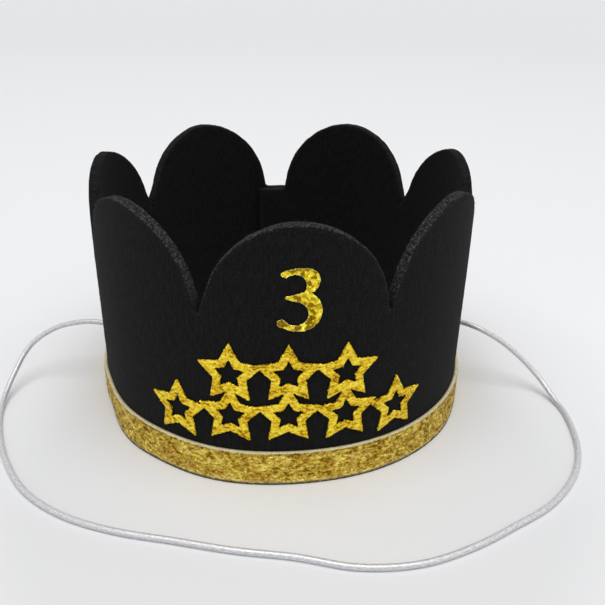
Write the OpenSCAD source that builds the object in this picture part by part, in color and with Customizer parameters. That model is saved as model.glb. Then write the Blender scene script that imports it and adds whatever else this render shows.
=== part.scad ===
// Scalloped felt party hat: one felt strip rolled into an open ring, with a glitter ribbon,
// a numeral and a star garland on the front, and a chin cord knotted through the sides.
// Origin: centre of the ring on the surface it stands on. Front is -Y, up is +Z.

/* [Felt ring] */
// Outer diameter of the rolled ring
ring_d = 110; // [90:1:150]
// Thickness of the felt
felt_t = 3; // [1.5:0.25:4]
// Height of the plain wall below the scallops
valley_h = 46.2; // [38:0.1:60]
// Thickness of the glue line wherever two pieces are stuck together
glue_t = 0.1; // [0.05:0.05:0.3]

/* [Scallops] */
// Number of scallops on the strip
scallops = 7; // [5:2:9]
// Width of the slit between two neighbouring scallops
slit_w = 0.8; // [0.4:0.1:2]
// Width of the flat gap at the back, where the strip's ends meet
notch_w = 7.6; // [4:0.1:12]
// Radius in the two lower corners of the flat gap
notch_r = 1.5; // [0.5:0.1:1.8]

/* [Glued overlap] */
// How far each end tab runs on behind or over its neighbour, past the flat gap
tab_over = 2.4; // [1:0.2:5]
// Length over which the inner end eases inwards by one thickness
ease_l = 26; // [16:1:34]

/* [Ribbon] */
// Width of the ribbon round the foot of the ring
ribbon_w = 9; // [6:0.5:14]
// Thickness of the ribbon with its glitter
ribbon_t = 1; // [0.5:0.1:1.5]
// Height of the ribbon's lower edge above the felt's lower edge
ribbon_lift = 0.2; // [0.2:0.1:3]
// Gap between the ribbon's inner end and the cut end of the felt
ribbon_end_gap = 0.8; // [0.5:0.1:2]

/* [Numeral] */
// Height of the numeral
numeral_h = 16.3; // [12:0.1:18]
// Drop of the numeral's foot below the scallops' valleys
numeral_drop = 2.6; // [0:0.1:4]
// Distance of the numeral's middle from the front line, along the wall
numeral_s = 0.9; // [-6:0.1:6]
// Thickness of the foil
foil_t = 0.3; // [0.2:0.05:0.6]

/* [Star garland] */
// Radius of a star, to its tips
star_r = 8.6; // [7:0.1:9]
// Radius of a star's inner corners
star_waist_r = 4.4; // [3.8:0.1:5]
// Width of the border that is left round each star's opening
star_border = 2; // [1.4:0.1:2.6]
// Length by which the tips of neighbouring stars run into each other
tip_join = 1.9; // [1.2:0.1:3]
// Length by which a star's top tip runs up between the feet of the star above
row_join = 1.2; // [0.8:0.1:2.5]
// Number of stars in the upper row
upper_stars = 3; // [1:2:5]
// Number of stars in the lower row
lower_stars = 5; // [3:2:7]
// Height of the middle lower star's feet above the ribbon
garland_lift = 3.8; // [2:0.1:6]
// Drop of a star next to the middle one; it grows with the square of the distance
row_dip = 0.4; // [0:0.1:0.8]
// Distance of the garland's middle from the front line, along the wall
garland_s = -1.8; // [-6:0.1:6]
// Thickness of the glitter card
card_t = 0.6; // [0.3:0.1:1]

/* [Chin cord] */
// Diameter of the cord
cord_d = 1.6; // [1:0.1:2]
// Diameter of the punched holes
hole_d = 2.2; // [2.1:0.1:3]
// Height of the holes above the ground
hole_z = 18.5; // [14:0.5:24]
// Turn from the front line to the left hole, in degrees
left_hole_turn = -91; // [-98:1:-88]
// Turn from the front line to the right hole, in degrees
right_hole_turn = 85; // [82:1:95]
// Diameter of a knot
knot_d = 4.4; // [3.6:0.1:6]
// Length of a knot along the cord
knot_l = 4; // [3:0.1:6]
// Length of the cut tail behind a knot
tail_l = 3; // [2:0.5:6]

/* [Hidden] */

ring_r = ring_d / 2;
inner_r = ring_r - felt_t;
girth = PI * ring_d;
pitch = (girth - notch_w + slit_w) / scallops;
scallop_r = (pitch - slit_w) / 2;
half_count = (scallops - 1) / 2;
flank_s = half_count * pitch + scallop_r;
tab_end_s = flank_s + notch_w + tab_over;
outer_end_s = girth - tab_end_s;
ease_in = felt_t + glue_t;
arc_steps = 24;
fillet_steps = 4;
ribbon_step = 3;
wall_sides = 180;
cut_over = 5;

// Turn about the ring's axis, in degrees, of a place s along the wall from the front line
function turn_at(s) = s / ring_r * 180 / PI;

// Smooth step from 0 to 1
function ease(t) = let (u = min(1, max(0, t))) u * u * (3 - 2 * u);

// Radius of the wall's outer face at place s: the last stretch eases in behind the first
function wall_r(s) = ring_r - ease_in * ease((s - outer_end_s + ease_l) / (ease_l - glue_t));

// A point on the wall: place s, height z, and the distance out from its outer face
function wall_point(s, z, out) =
    let (r = wall_r(s) + out, a = turn_at(s)) [r * sin(a), -r * cos(a), z];

// Height of the strip's upper edge within scallop i, and in the fillet beside an end scallop
function scallop_z(s, i) =
    let (x = s - i * pitch) valley_h + (abs(x) < scallop_r ? sqrt(scallop_r * scallop_r - x * x) : 0);
function fillet_z(s) =
    let (x = notch_r - (abs(s) - flank_s))
    valley_h + (x > 0 && x <= notch_r ? notch_r - sqrt(notch_r * notch_r - x * x) : 0);
function edge_z(s) =
    abs(s) >= flank_s ? fillet_z(s) : max([for (i = [-half_count : half_count]) scallop_z(s, i)]);

// Places along the strip at which its edge is sampled, from one end to the other
right_tab = concat(
    [for (k = [0 : fillet_steps]) flank_s + notch_r * (1 - cos(90 * k / fillet_steps))],
    [for (s = [flank_s + notch_r + 1 : 2.5 : tab_end_s - 1]) s],
    [tab_end_s]);
left_tab = [for (k = [len(right_tab) - 1 : -1 : 0]) -right_tab[k]];
scallop_places = [for (i = [-half_count : half_count]) for (k = [0 : arc_steps])
    if (!(i == -half_count && k == 0) && !(i == half_count && k == arc_steps))
        i * pitch - scallop_r * cos(180 * k / arc_steps)];
strip_places = concat(left_tab, scallop_places, right_tab);

// Closed solid through four-cornered sections of the same winding, capped at both ends
module swept_sections(sections) {
    last = len(sections) - 1;
    sides = len(sections[0]);
    polyhedron(
        points = [for (section = sections) for (p = section) p],
        faces = concat(
            [[for (j = [0 : sides - 1]) j]],
            [for (i = [0 : last - 1]) for (j = [0 : sides - 1])
                let (a = i * sides + j, b = i * sides + (j + 1) % sides)
                [a, a + sides, b]],
            [for (i = [0 : last - 1]) for (j = [0 : sides - 1])
                let (a = i * sides + j, b = i * sides + (j + 1) % sides)
                [b, a + sides, b + sides]],
            [[for (j = [sides - 1 : -1 : 0]) last * sides + j]]));
}

// Strip that follows the wall, between two heights and two distances out from its outer face
module wall_strip(places, low_z, high_zs, inside, outside) {
    swept_sections([for (i = [0 : len(places) - 1]) let (s = places[i]) [
        wall_point(s, low_z, outside),
        wall_point(s, low_z, inside),
        wall_point(s, high_zs[i], inside),
        wall_point(s, high_zs[i], outside)]]);
}

// Turns a piece that is drawn on the front line to place s on the wall
module at_place(s) {
    rotate([0, 0, turn_at(s)]) children();
}

// Flat outline (x along the wall, y up) pushed straight out from the axis through the wall
module pushed_out(z) {
    translate([0, 0, z]) rotate([90, 0, 0]) linear_extrude(ring_r + cut_over) children();
}

// Keeps the part of an outline that lies as a thin sheet on the outside of the wall
module stuck_on_wall(t, low_z, high_z) {
    intersection() {
        translate([0, 0, low_z]) difference() {
            cylinder(r = ring_r + glue_t + t, h = high_z - low_z, $fn = wall_sides);
            translate([0, 0, -cut_over])
                cylinder(r = ring_r + glue_t, h = high_z - low_z + 2 * cut_over, $fn = wall_sides);
        }
        union() children();
    }
}

// Radial hole axis on one side: the child is drawn along +Z, from the ring's axis outwards
module along_hole(turn) {
    rotate([0, 0, turn]) translate([0, 0, hole_z]) rotate([90, 0, 0]) children();
}

module felt_crown() {
    color("#1d1d1f") difference() {
        wall_strip(strip_places, 0, [for (s = strip_places) edge_z(s)], -felt_t, 0);
        for (turn = [left_hole_turn, right_hole_turn])
            along_hole(turn)
                translate([0, 0, inner_r - cut_over])
                    cylinder(d = hole_d, h = felt_t + 2 * cut_over, $fn = 32);
    }
}

// The ribbon starts flush with the outer cut end of the felt and stops just short of it
ribbon_top_z = ribbon_lift + ribbon_w;
ribbon_start_s = -tab_end_s;
ribbon_stop_s = outer_end_s - ribbon_end_gap;
ribbon_count = ceil((ribbon_stop_s - ribbon_start_s) / ribbon_step);
ribbon_places = [for (i = [0 : ribbon_count])
    ribbon_start_s + (ribbon_stop_s - ribbon_start_s) * i / ribbon_count];

module glitter_ribbon() {
    color("#a98a3a")
        wall_strip(ribbon_places, ribbon_lift, [for (s = ribbon_places) ribbon_top_z],
            glue_t, glue_t + ribbon_t);
}

// Points along an arc of a flat outline, from angle a0 to angle a1
function arc(centre, r, a0, a1) =
    let (n = ceil(abs(a1 - a0) / 10))
    [for (k = [0 : n]) let (a = a0 + (a1 - a0) * k / n) centre + r * [cos(a), sin(a)]];

// The numeral's outline as a chain of arcs, in shares of its height: x = 0 through its bowls,
// y = 0 at its foot
numeral_points = concat(
    arc([-0.037, 0.356], 0.356, 237, 266),
    arc([-0.006, 0.325], 0.325, -86, 62),
    arc([0.079, 0.8], 0.2, -72, 85),
    arc([0.012, 0.264], 0.736, 85, 107),
    arc([-0.25, 0.9], 0.038, 105, 285),
    arc([-0.086, 0.73], 0.166, 140, -38),
    arc([-0.202, 0.54], 0.026, 95, 260),
    arc([-0.074, 0.288], 0.184, 72, -132),
    arc([-0.279, 0.138], 0.067, 30, 248));
numeral_z = valley_h - numeral_drop;

module numeral_three() {
    color("#d9b21c") stuck_on_wall(foil_t, numeral_z - 1, numeral_z + numeral_h + 1)
        at_place(numeral_s) pushed_out(numeral_z) polygon(numeral_points * numeral_h);
}

// Five-pointed star, point up
module star(tip_r, waist_r) {
    polygon([for (k = [0 : 9])
        let (r = k % 2 == 0 ? tip_r : waist_r, a = 90 + 36 * k) [r * cos(a), r * sin(a)]]);
}

// A star's edge runs from its tip to its waist; shrinking both radii by one share moves
// that edge inwards by the border's width
star_edge_d = star_r * star_waist_r * sin(36)
    / sqrt(star_r * star_r + star_waist_r * star_waist_r - 2 * star_r * star_waist_r * cos(36));
star_hole = 1 - star_border / star_edge_d;

module open_star() {
    difference() {
        star(star_r, star_waist_r);
        star(star_r * star_hole, star_waist_r * star_hole);
    }
}

star_pitch = 2 * star_r * cos(18) - tip_join;
lower_row_z = ribbon_top_z + garland_lift + star_r * cos(36);
upper_row_z = lower_row_z + star_r + star_waist_r - row_join;

// A row of stars that dips towards both ends
module star_row(count, mid_z) {
    for (k = [0 : count - 1]) {
        from_middle = k - (count - 1) / 2;
        at_place(garland_s + from_middle * star_pitch)
            pushed_out(mid_z - row_dip * from_middle * from_middle) open_star();
    }
}

module star_garland() {
    color("#e0bd3c")
        stuck_on_wall(card_t, ribbon_top_z, upper_row_z + star_r + 1) {
            star_row(lower_stars, lower_row_z);
            star_row(upper_stars, upper_row_z);
        }
}

cord_r = cord_d / 2;
knot_seat = inner_r - glue_t;
cord_sides = 8;
ring_steps = 3;

// A point on a hole's axis, at distance r from the ring's axis
function hole_point(turn, r) = [r * sin(turn), -r * cos(turn), hole_z];

// Route of the cord's free stretch, from the left hole round the front to the right hole
free_route = [
    [-63, 2, 18.5], [-72, 3, 16], [-80, 1, 11], [-84, -7, 5], [-85, -18, 1],
    [-82, -31, 0.8], [-76, -45, 0.8], [-68, -57, 0.8], [-57, -66, 0.8], [-44, -72, 0.8],
    [-30, -76, 0.8], [-16, -80, 0.8], [-2, -83, 0.8], [12, -87, 0.8], [26, -87, 0.8],
    [39, -83, 0.8], [51, -77, 0.8], [63, -70, 0.8], [73, -60, 0.8], [79, -49, 0.8],
    [82, -36, 0.8], [82, -26, 1], [78, -17, 6], [70, -12, 13], [62, -9, 17.5]];
cord_route = concat(
    [hole_point(left_hole_turn, knot_seat), hole_point(left_hole_turn, ring_r + 1)],
    free_route,
    [hole_point(right_hole_turn, ring_r + 1), hole_point(right_hole_turn, knot_seat)]);

// Smooth curve through the route's points, never lower than the cord lying on the ground
function route_at(i) = cord_route[min(len(cord_route) - 1, max(0, i))];
function curve_point(i, t) =
    let (a = route_at(i - 1), b = route_at(i), c = route_at(i + 1), d = route_at(i + 2),
         p = ((2 * b) + (c - a) * t + (2 * a - 5 * b + 4 * c - d) * t * t
              + (3 * b - a - 3 * c + d) * t * t * t) / 2)
    [p[0], p[1], max(cord_r, p[2])];
cord_points = concat(
    [for (i = [0 : len(cord_route) - 2])
        let (n = i == 0 || i == len(cord_route) - 2 ? 1 : ring_steps)
        for (k = [0 : n - 1]) curve_point(i, k / n)],
    [route_at(len(cord_route) - 1)]);

function unit(v) = v / norm(v);
function heading(i) =
    unit(cord_points[min(len(cord_points) - 1, i + 1)] - cord_points[max(0, i - 1)]);

// Round section of the cord, square to its heading, with one side kept level
function cord_section(i) =
    let (along = heading(i), side = unit(cross(along, [0, 0, 1])), up = cross(side, along))
    [for (j = [0 : cord_sides - 1]) let (a = 360 * (j + 0.5) / cord_sides)
        cord_points[i] + cord_r * (cos(a) * side + sin(a) * up)];

module chin_cord() {
    color("#c4c6ca") swept_sections([for (i = [0 : len(cord_points) - 1]) cord_section(i)]);
}

// Overhand knot drawn tight against the inside of the felt: two ridges of cord round a core,
// with the cut tail behind them
module knot(turn) {
    ridge_r = 0.6 * cord_d;
    core_r = knot_d / 2 - ridge_r;
    along_hole(turn) translate([0, 0, knot_seat - knot_l - tail_l]) {
        cylinder(d = cord_d, h = tail_l + ridge_r, $fn = 24);
        translate([0, 0, tail_l]) rotate_extrude($fn = 48) intersection() {
            square([knot_d, knot_l]);
            union() {
                square([core_r, knot_l]);
                for (z = [knot_l / 4, 3 * knot_l / 4])
                    translate([core_r, z]) circle(r = ridge_r, $fn = 32);
            }
        }
    }
}

module left_knot() {
    color("#c4c6ca") knot(left_hole_turn);
}

module right_knot() {
    color("#c4c6ca") knot(right_hole_turn);
}

felt_crown();
glitter_ribbon();
numeral_three();
star_garland();
chin_cord();
left_knot();
right_knot();
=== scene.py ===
import math

import bmesh
import bpy
import numpy as np
from mathutils import Matrix, Vector, noise
from mathutils.geometry import delaunay_2d_cdt
from mathutils.kdtree import KDTree


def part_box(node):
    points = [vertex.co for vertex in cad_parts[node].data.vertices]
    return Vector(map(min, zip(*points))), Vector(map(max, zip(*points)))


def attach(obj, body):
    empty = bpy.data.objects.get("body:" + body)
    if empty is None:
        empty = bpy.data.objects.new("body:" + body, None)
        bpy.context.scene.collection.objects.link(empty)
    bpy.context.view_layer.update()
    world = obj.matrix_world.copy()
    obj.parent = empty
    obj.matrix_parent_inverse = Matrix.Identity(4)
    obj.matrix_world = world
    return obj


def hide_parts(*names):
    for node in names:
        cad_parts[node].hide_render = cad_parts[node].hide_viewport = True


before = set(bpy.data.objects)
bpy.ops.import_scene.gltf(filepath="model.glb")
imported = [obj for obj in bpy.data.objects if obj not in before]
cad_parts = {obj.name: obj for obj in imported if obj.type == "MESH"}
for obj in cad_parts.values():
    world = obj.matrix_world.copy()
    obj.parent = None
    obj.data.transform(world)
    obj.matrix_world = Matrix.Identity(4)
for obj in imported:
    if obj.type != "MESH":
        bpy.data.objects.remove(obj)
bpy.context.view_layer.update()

MM = 0.001
scene = bpy.context.scene
draw = np.random.default_rng(7)

# Sizes of the felt ring, in millimetres, as the frame has them
RING_R = (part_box("felt_crown")[1].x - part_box("felt_crown")[0].x) / 2 / MM
FELT_T = 3.0
VALLEY_H = 46.2
SCALLOPS = 7
SLIT_W = 0.8
NOTCH_W = 7.6
NOTCH_R = 1.5
TAB_OVER = 2.4
EASE_L = 26.0
GLUE_T = 0.1
GIRTH = 2 * math.pi * RING_R
PITCH = (GIRTH - NOTCH_W + SLIT_W) / SCALLOPS
SCALLOP_R = (PITCH - SLIT_W) / 2
FLANK_S = (SCALLOPS - 1) / 2 * PITCH + SCALLOP_R
TAB_END_S = FLANK_S + NOTCH_W + TAB_OVER
OUTER_END_S = GIRTH - TAB_END_S

# Where the hand-rolled ring isn't round: turn and reach in degrees, distance outwards
FOOT_BULGES = [(-22, 18, 1.2), (-50, 11, 0.6), (-72, 9, -0.6), (28, 20, 0.4), (84, 24, -0.7),
               (150, 40, 0.5)]
SIDE_BULGE = (-97, 20, 0.7)
SIDE_BULGE_H = 75.0

# Flare of the foot: distance outwards, height, and the degrees it reaches and fades over
FLARE = 1.1
FLARE_H = 9.5
FLARE_TURN = 72
FLARE_FADE = 26

# How far each hand-cut scallop's left and right flank is pinched in, from the back round to the
# back, and the shares of the scallop's radius, up and across, over which the pinch comes in
PINCHES = [(0.0, 2.2), (1.3, 1.5), (0.5, 0.6), (1.1, 0.2), (0.9, 0.5), (1.0, 2.2), (0.8, 0.2)]
PINCH_UP = 0.3
PINCH_ACROSS = 0.35

# Holes in the sides: turn from the front line in degrees, height, diameter
HOLE_TURNS = (-91, 85)
HOLE_Z = 18.5
HOLE_D = 2.2

# Chin cord
CORD_D = 1.6
KNOT_SEAT = RING_R - FELT_T - GLUE_T
KNOT_L = 4.0
TAIL_L = 3.0
FREE_ROUTE = [
    (-63, 2, 18.5), (-72, 3, 16), (-80, 1, 11), (-84, -7, 5), (-85, -18, 1),
    (-82, -31, 0.8), (-76, -45, 0.8), (-68, -57, 0.8), (-57, -66, 0.8), (-44, -72, 0.8),
    (-30, -76, 0.8), (-16, -80, 0.8), (-2, -83, 0.8), (12, -87, 0.8), (26, -87, 0.8),
    (39, -83, 0.8), (51, -77, 0.8), (63, -70, 0.8), (73, -60, 0.8), (79, -49, 0.8),
    (82, -36, 0.8), (82, -26, 1), (78, -17, 6), (70, -12, 13), (62, -9, 17.5)]

# Camera: place and aim in millimetres, roll in degrees, focal length and image in pixels
CAMERA_AT = (-11.5, -204.5, 124.1)
LOOKS_AT = (6.0, -0.5, 24.5)
ROLL = 0.72
FOCAL_PX = 722.8
IMAGE_PX = 605
SENSOR_MM = 36


def link(obj):
    scene.collection.objects.link(obj)
    return obj


def make_camera():
    data = bpy.data.cameras.new("camera")
    data.sensor_width = SENSOR_MM
    data.lens = FOCAL_PX / IMAGE_PX * SENSOR_MM
    data.clip_start = 0.01
    camera = link(bpy.data.objects.new("camera", data))
    at, aim = Vector(CAMERA_AT) * MM, Vector(LOOKS_AT) * MM
    turn = (aim - at).to_track_quat("-Z", "Y").to_matrix().to_4x4()
    camera.matrix_world = Matrix.Translation(at) @ turn @ Matrix.Rotation(math.radians(ROLL), 4, "Z")
    scene.camera = camera


# Meshes

def mesh_object(name, points, faces, material=None, smooth=False):
    """A new object from points in millimetres."""
    mesh = bpy.data.meshes.new(name)
    mesh.from_pydata([tuple(float(c) * MM for c in p) for p in points], [], faces)
    mesh.polygons.foreach_set("use_smooth", [smooth] * len(mesh.polygons))
    if material is not None:
        mesh.materials.append(material)
    return link(bpy.data.objects.new(name, mesh))


def point_attribute(obj, name, values):
    layer = obj.data.attributes.new(name, "FLOAT", "POINT")
    layer.data.foreach_set("value", np.asarray(values, np.float32))


def map_points(obj, name, uv):
    """A UV map from one pair of numbers for each point."""
    loops = np.zeros(len(obj.data.loops), np.int32)
    obj.data.loops.foreach_get("vertex_index", loops)
    layer = obj.data.uv_layers.new(name=name)
    layer.uv.foreach_set("vector", np.asarray(uv, np.float32)[loops].ravel())


def tube_faces(rings, sides, closed_ends=True):
    faces = [(i * sides + j, i * sides + (j + 1) % sides,
              (i + 1) * sides + (j + 1) % sides, (i + 1) * sides + j)
             for i in range(rings - 1) for j in range(sides)]
    if closed_ends:
        faces.append(tuple(range(sides))[::-1])
        faces.append(tuple((rings - 1) * sides + j for j in range(sides)))
    return faces


# Shape of the rolled strip: s runs along the wall from the front line, z is the height

def ease(t):
    u = min(1, max(0, t))
    return u * u * (3 - 2 * u)


def wall_r(s):
    return RING_R - (FELT_T + GLUE_T) * ease((s - OUTER_END_S + EASE_L) / (EASE_L - GLUE_T))


def bulge(turn, middle, reach, far):
    return far * math.exp(-((turn - middle) / reach) ** 2)


def uneven(s, z):
    """How far the wall stands outside its true round, which it comes back to higher up."""
    turn = math.degrees(s / RING_R)
    foot = sum(bulge(turn, *place) for place in FOOT_BULGES) * max(0.0, 1 - z / VALLEY_H)
    side = bulge(turn, *SIDE_BULGE) * max(0.0, 1 - (z / SIDE_BULGE_H) ** 2)
    flare = FLARE * max(0.0, 1 - z / FLARE_H) * ease((FLARE_TURN - abs(turn)) / FLARE_FADE)
    return foot + side + flare


def on_wall(s, z, out):
    """Point at place s and height z, at a distance out from the wall's outer face."""
    r, a = wall_r(s) + uneven(s, z) + out, s / RING_R
    return Vector((r * math.sin(a), -r * math.cos(a), z))


def scallop_point(i, turn):
    """Point on the edge of the scallop at place i from the front one, at a turn from its right end."""
    across, up = math.cos(math.radians(turn)), math.sin(math.radians(turn))
    left, right = PINCHES[i + (SCALLOPS - 1) // 2]
    pinch = (right if across > 0 else left) * ease(up / PINCH_UP) * min(1.0, abs(across) / PINCH_ACROSS)
    return (i * PITCH + SCALLOP_R * across - math.copysign(pinch, across), VALLEY_H + SCALLOP_R * up)


# Steps of the gap's corner fillets, and the points of the last scallops that they stand in for
FILLET_STEPS = 4
FILLET_COVERS = 5


def crown_outline(step):
    """Corners of the cut strip as (s, z), anticlockwise from its lower left corner."""
    half = (SCALLOPS - 1) // 2
    corners = [(-TAB_END_S, 0), (TAB_END_S, 0), (TAB_END_S, VALLEY_H)]
    fillet = [math.radians(90 * k / FILLET_STEPS) for k in range(FILLET_STEPS + 1)]
    corners += [(FLANK_S + NOTCH_R * (1 - math.sin(a)), VALLEY_H + NOTCH_R * (1 - math.cos(a)))
                for a in fillet]
    for i in range(half, -half - 1, -1):
        turns = np.linspace(0, 180, int(math.pi * SCALLOP_R / step))
        first = FILLET_COVERS if i == half else 0
        last = len(turns) - (FILLET_COVERS if i == -half else 0)
        corners += [scallop_point(i, t) for t in turns[first:last]]
    corners += [(-FLANK_S - NOTCH_R * (1 - math.sin(a)), VALLEY_H + NOTCH_R * (1 - math.cos(a)))
                for a in reversed(fillet)]
    corners.append((-TAB_END_S, VALLEY_H))
    return resampled(corners, step)


def resampled(corners, step):
    """A closed outline with every side cut into pieces no longer than step."""
    points = []
    for a, b in zip(corners, corners[1:] + corners[:1]):
        a, b = np.array(a, float), np.array(b, float)
        pieces = max(1, math.ceil(np.linalg.norm(b - a) / step))
        points += [a + (b - a) * k / pieces for k in range(pieces)]
    return np.array(points)


def circle(centre, r, count):
    turns = np.arange(count) * 2 * math.pi / count
    return np.stack([centre[0] + r * np.cos(turns), centre[1] + r * np.sin(turns)], 1)


def inward(outline):
    """At each corner of an anticlockwise outline, the way into the shape, longer at sharp corners."""
    along = np.roll(outline, -1, 0) - outline
    along /= np.linalg.norm(along, axis=1)[:, None]
    normal = np.stack([-along[:, 1], along[:, 0]], 1)
    both = normal + np.roll(normal, 1, 0)
    both /= np.linalg.norm(both, axis=1)[:, None]
    return both / np.clip((both * normal).sum(1), 0.6, 1)[:, None]


def fill(outlines, spacing, margin):
    """Triangles between closed outlines, the first round the others, with points spread inside."""
    outer, holes = outlines[0], outlines[1:]
    lo, hi = outer.min(0), outer.max(0)
    rows = int((hi[1] - lo[1]) / spacing) + 1
    cols = int((hi[0] - lo[0]) / spacing) + 1
    jitter = draw.uniform(-0.25, 0.25, (rows, cols, 2)) * spacing
    seeds = [Vector((lo[0] + (c + 0.5 * (r % 2)) * spacing + jitter[r, c, 0],
                     lo[1] + r * spacing + jitter[r, c, 1]))
             for r in range(rows) for c in range(cols)]
    rim = np.concatenate(outlines)
    tree = KDTree(len(rim))
    for i, p in enumerate(rim):
        tree.insert((p[0], p[1], 0), i)
    tree.balance()
    seeds = [p for p in seeds if tree.find((p.x, p.y, 0))[2] > margin]
    edges, start = [], 0
    for line in outlines:
        n = len(line)
        edges += [(start + k, start + (k + 1) % n) for k in range(n)]
        start += n
    points, _, faces, _, _, _ = delaunay_2d_cdt(
        [Vector(p) for p in rim] + seeds, edges, [], 1, 1e-6)
    if len(points) < start:
        raise ValueError("the outline's corners fell together")
    centres = [(hole.mean(0), np.linalg.norm(hole[0] - hole.mean(0))) for hole in holes]
    kept = [f for f in faces
            if all(np.linalg.norm(sum((np.array(points[i]) for i in f), np.zeros(2)) / 3 - c) > r
                   for c, r in centres)]
    return np.array([tuple(p) for p in points]), kept, start


# Cut edge of the felt: how far it is set in, and how deep it lies below the outer face
EDGE_PROFILE = [(0.55, 0.0), (0.3, 0.03), (0.12, 0.13), (0.02, 0.35), (0.0, 0.8), (0.02, 1.5),
                (0.0, 2.2), (0.02, 2.65), (0.12, 2.87), (0.3, 2.97), (0.55, 3.0)]

# Shares of pale cut fibre: at the strip's ends, on the back half and deep in the slits, both darkened
# as painted shade, where the edge is set in further than RIM_INSET, and on the face's own rim
END_CUT = 0.0
BACK_SHADED_CUT = 0.12
SLIT_SHADED_CUT = 0.3
INSET_CUT = 0.5
FACE_RIM_CUT = 0.08
RIM_INSET = 0.2
END_REACH = 0.6

# Heights from and over which the slits' painted shade lifts above them, and where painted shade darkens the
# cut to the back
SLIT_FROM = 1
SLIT_FADE = 8
BACK_TURN = 62
BACK_FADE = 20


def cut_share(s, z, inset):
    """How much of the cut's pale fibre shows, from 0 to 1, darkened by painted shade deep in the slits and
    towards the back.
    """
    if abs(s) > TAB_END_S - END_REACH:
        return END_CUT
    inset_share = INSET_CUT if inset > RIM_INSET else 1
    # Painted shade: the pale cut darkens down into the slits
    slit_share = SLIT_SHADED_CUT + (1 - SLIT_SHADED_CUT) * ease((z - VALLEY_H - SLIT_FROM) / SLIT_FADE)
    # Painted shade: the pale cut darkens towards the back of the ring
    back = ease((abs(s) / RING_R - math.radians(BACK_TURN)) / math.radians(BACK_FADE))
    return (1 - (1 - BACK_SHADED_CUT) * back) * inset_share * slit_share


# Felt mesh: sizes of its steps, and height, size and seed of its lumps and its ragged cut
OUTLINE_STEP = 0.5
FACE_STEP = 1.1
RIM_CLEAR = 0.55
HOLE_SIDES = 28
HOLE_INSET = 0.25
HOLE_EDGE = 0.4
LUMPS = [(0.06, 2.2, 0), (0.035, 0.7, 9)]
EDGE_LUMPS = 0.4
RAGS = [(0.09, 0.55, 3), (0.12, 2.5, 5)]
RAG_INSET = 0.05
CLOTH_SCALE = 100


def felt_noise(s, z, depth, size, seed):
    return noise.noise(Vector((s / size, z / size, depth / size + seed)))


def make_felt(material):
    outlines = [crown_outline(OUTLINE_STEP)]
    for turn in HOLE_TURNS:
        outlines.append(circle((math.radians(turn) * RING_R, HOLE_Z), HOLE_D / 2, HOLE_SIDES)[::-1])
    ways = [inward(line) for line in outlines]
    insets = [EDGE_PROFILE[0][0]] + [HOLE_INSET] * len(HOLE_TURNS)
    rims = [line + way * inset for line, way, inset in zip(outlines, ways, insets)]
    flat, triangles, rim_count = fill(rims, FACE_STEP, RIM_CLEAR)
    points, edge, uv, faces = [], [], [], []

    def add(s, z, depth, cut):
        lumps = sum(high * felt_noise(s, z, depth, size, seed) for high, size, seed in LUMPS)
        side = 1 if depth < FELT_T / 2 else -1
        points.append(on_wall(s, z, -depth + side * lumps * (EDGE_LUMPS if cut else 1)))
        edge.append(cut)
        uv.append((s / CLOTH_SCALE, z / CLOTH_SCALE))

    for depth in (0.0, FELT_T):
        for k, (s, z) in enumerate(flat):
            add(s, z, depth, FACE_RIM_CUT if k < rim_count else 0.0)
    face_count = len(flat)
    faces += [tuple(f) for f in triangles]
    faces += [tuple(i + face_count for i in reversed(f)) for f in triangles]
    start = 0
    for k, (line, way) in enumerate(zip(outlines, ways)):
        n = len(line)
        rows = [[start + j for j in range(n)]]
        for inset, depth in EDGE_PROFILE[1:-1]:
            rows.append([])
            for j in range(n):
                ragged = sum(far * felt_noise(*line[j], depth, size, seed) for far, size, seed in RAGS)
                off = inset * (1 if k == 0 else HOLE_EDGE) + ragged + RAG_INSET
                s, z = line[j] + way[j] * off
                add(s, max(z, 0.0), depth, cut_share(s, z, inset))
                rows[-1].append(len(points) - 1)
        rows.append([face_count + start + j for j in range(n)])
        for a, b in zip(rows, rows[1:]):
            faces += [(a[j], b[j], b[(j + 1) % n], a[(j + 1) % n]) for j in range(n)]
        start += n
    felt = mesh_object("felt_strip", points, faces, material, smooth=True)
    point_attribute(felt, "cut", edge)
    map_points(felt, "cloth", uv)
    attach(felt, "root")
    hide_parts("felt_crown")
    return felt


# Chin cord

def hole_point(turn, r):
    a = math.radians(turn)
    return Vector((r * math.sin(a), -r * math.cos(a), HOLE_Z))


def smooth_path(route, steps, lowest=None):
    """Curve through the route's points."""
    last = len(route) - 1
    path = []
    for i in range(last):
        a, b = route[max(0, i - 1)], route[i]
        c, d = route[i + 1], route[min(last, i + 2)]
        for k in range(steps):
            t = k / steps
            p = (2 * b + (c - a) * t + (2 * a - 5 * b + 4 * c - d) * t * t
                 + (3 * b - a - 3 * c + d) * t ** 3) / 2
            path.append(p)
    path.append(route[last])
    if lowest is not None:
        path = [Vector((p.x, p.y, max(lowest, p.z))) for p in path]
    return path


def even_path(path, step):
    """The same path with points a step apart."""
    line = np.array([tuple(p) for p in path])
    along = np.concatenate([[0], np.cumsum(np.linalg.norm(np.diff(line, axis=0), axis=1))])
    at = np.linspace(0, along[-1], int(along[-1] / step) + 2)
    return np.stack([np.interp(at, along, line[:, k]) for k in range(3)], 1), along[-1]


CORD_SIDES = 32
CORD_STEP = 0.3
KNOT_SIDES = 24
KNOT_STEP = 0.25
BRAID_STRANDS = 8
BRAID_PITCH = 3.2
BRAID_DEPTH = 0.03


def braid(length, turn):
    """Height of a braid's surface, from 0 to 1, at a length along it and a turn round it."""
    a = BRAID_STRANDS * (turn + length / BRAID_PITCH) * math.pi
    b = BRAID_STRANDS * (turn - length / BRAID_PITCH) * math.pi
    over = math.sin(a) ** 2
    under = math.sin(b) ** 2
    weave = 0.5 + 0.5 * math.cos(BRAID_STRANDS * math.pi * length / BRAID_PITCH)
    return over * weave + under * (1 - weave)


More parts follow.
